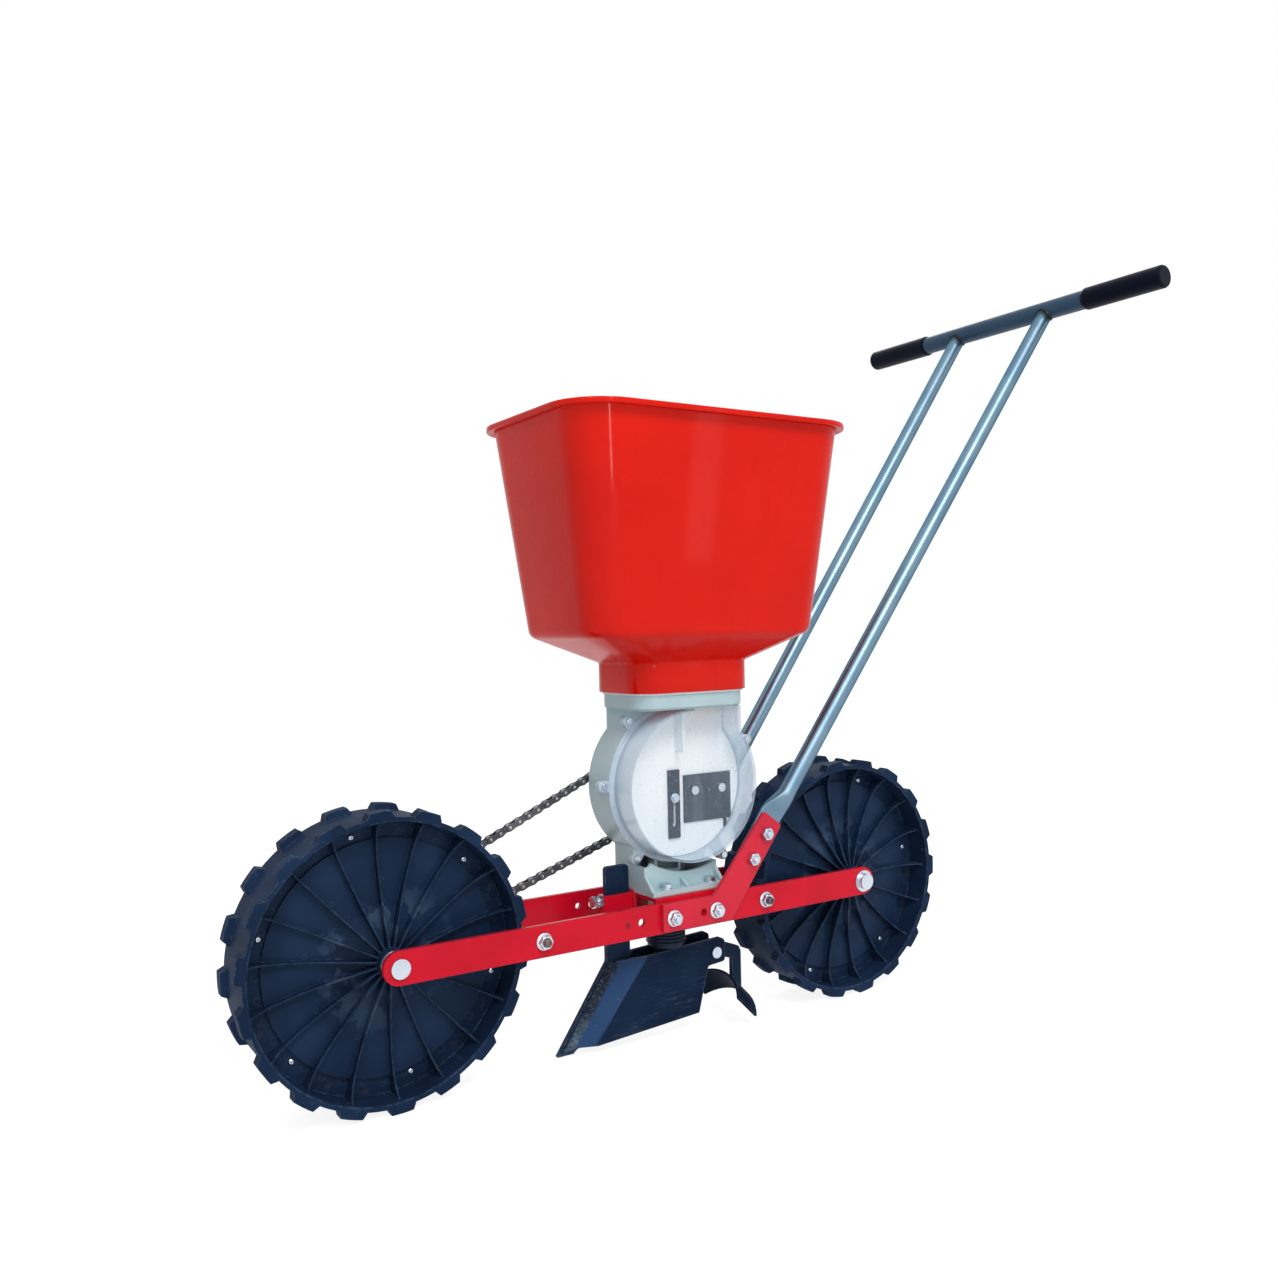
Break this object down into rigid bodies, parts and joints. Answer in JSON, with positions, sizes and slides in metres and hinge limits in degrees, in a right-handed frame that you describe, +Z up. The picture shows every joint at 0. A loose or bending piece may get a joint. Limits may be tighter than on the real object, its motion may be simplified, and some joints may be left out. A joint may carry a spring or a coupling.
{
  "type": "walk-behind seed planter",
  "caption": "Push seeder: ribbed wheels in line, chain-driven seed meter with a clear cover, tapered hopper, furrow opener, coverer and a T handle on two raked tubes.",
  "frame": {"origin": "on the ground, at the middle of the length between the front wheel and the handlebar, on the centre plane", "axes": "+X to the rear, towards the handlebar; +Y to the right-hand, chain side; +Z up"},
  "size_m": [1.095, 0.498, 0.896],
  "materials": {
    "frame_red": "gloss enamel",
    "bright_zinc": "zinc plated",
    "dark_steel": "oiled",
    "hopper_red": "gloss",
    "housing_green": "satin",
    "clear_plastic": "clear",
    "white_plastic": "satin",
    "black_plastic": "satin",
    "wheel_plastic": "satin",
    "black_paint": "satin",
    "slate_paint": "satin",
    "grip_rubber": "satin",
    "hose_rubber": "matte"
  },
  "bodies": {
    "frame": {"front_bar_left": "frame_red", "front_bar_right": "frame_red", "rear_bar_left": "frame_red", "rear_bar_right": "frame_red", "bed_channel": "frame_red", "shank_clamp": "frame_red", "bracket_left": "frame_red", "bracket_right": "frame_red", "clamp_bolt": "bright_zinc", "bracket_bolts": "bright_zinc", "front_tie_rod": "bright_zinc", "rear_tie_rod": "bright_zinc", "handle_tube_left": "bright_zinc", "handle_tube_right": "bright_zinc", "handle_bolts": "bright_zinc", "front_axle": "bright_zinc", "rear_axle": "bright_zinc", "front_spacers": "bright_zinc", "rear_spacers": "bright_zinc", "cover_screws": "bright_zinc", "divider_screws": "bright_zinc", "housing_bolts": "bright_zinc", "drive_chain": "dark_steel", "hopper": "hopper_red", "meter_housing": "housing_green", "clear_cover": "clear_plastic", "hopper_gasket": "white_plastic", "divider_plate": "white_plastic", "cup_guard": "black_plastic", "handlebar": "slate_paint", "grip_left": "grip_rubber", "grip_right": "grip_rubber", "seed_hose": "hose_rubber"},
    "front_wheel": {"front_wheel_left": "wheel_plastic", "front_wheel_right": "wheel_plastic", "front_wheel_screws": "bright_zinc", "drive_sprocket": "dark_steel", "sprocket_screws": "bright_zinc"},
    "rear_wheel": {"rear_wheel_left": "wheel_plastic", "rear_wheel_right": "wheel_plastic", "rear_wheel_screws": "bright_zinc"},
    "meter": {"meter_shaft": "bright_zinc", "seed_wheel": "black_plastic", "driven_sprocket": "dark_steel"},
    "gate": {"seed_gate": "black_plastic"},
    "opener": {"opener_shank": "black_paint", "opener_plate_left": "black_paint", "opener_plate_right": "black_paint", "seed_tube": "black_paint", "coverer_pin": "bright_zinc"},
    "coverer": {"coverer_arm": "black_paint", "coverer_blade": "black_paint"}
  },
  "joints": [
    {"name": "front_wheel_spin", "type": "hinge", "parent": "frame", "child": "front_wheel", "pos_m": [-0.40197, 0, 0.1455], "axis": [0, 1, 0], "continuous": true, "deforming": ["drive_chain"]},
    {"name": "rear_wheel_spin", "type": "hinge", "parent": "frame", "child": "rear_wheel", "pos_m": [0.19003, 0, 0.1455], "axis": [0, 1, 0], "continuous": true},
    {"name": "meter_spin", "type": "hinge", "parent": "frame", "child": "meter", "pos_m": [-0.05097, 0, 0.2835], "axis": [0, 1, 0], "continuous": true},
    {"name": "gate_slide", "type": "slide", "parent": "frame", "child": "gate", "axis": [0, 0, 1], "range_m": [0, 0.02]},
    {"name": "opener_depth", "type": "slide", "parent": "frame", "child": "opener", "axis": [0, 0, 1], "range_m": [-0.03, 0.015], "deforming": ["seed_hose"]},
    {"name": "coverer_swing", "type": "hinge", "parent": "opener", "child": "coverer", "pos_m": [-0.00697, 0, 0.0835], "axis": [0, 1, 0], "range_deg": [-30, 0]}
  ],
  "couplings": [
    {"joint": "meter_spin", "follows": "front_wheel_spin", "ratio": 0.57143}
  ]
}
